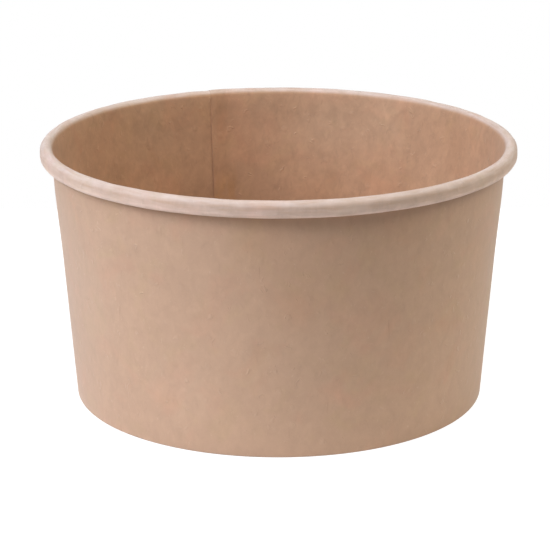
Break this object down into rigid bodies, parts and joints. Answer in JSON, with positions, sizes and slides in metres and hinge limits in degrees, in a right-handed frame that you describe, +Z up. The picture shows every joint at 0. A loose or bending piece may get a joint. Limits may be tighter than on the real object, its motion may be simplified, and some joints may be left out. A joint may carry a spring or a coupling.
{
  "type": "paper salad bowl",
  "caption": "Round tapered kraft paper bowl with a rolled rim, a lapped side seam and a recessed bottom, open at the top for salads and hot or cold food.",
  "frame": {"origin": "on the table, under the centre of the bowl", "axes": "+Z up along the bowl's axis; the side seam is 109 degrees round from +X"},
  "size_m": [0.15, 0.15, 0.082],
  "materials": {
    "wall_board": "coated kraft board, satin",
    "disc_board": "coated kraft board, satin"
  },
  "bodies": {
    "root": {"side_wall": "wall_board", "bottom_disc": "disc_board"}
  },
  "joints": []
}
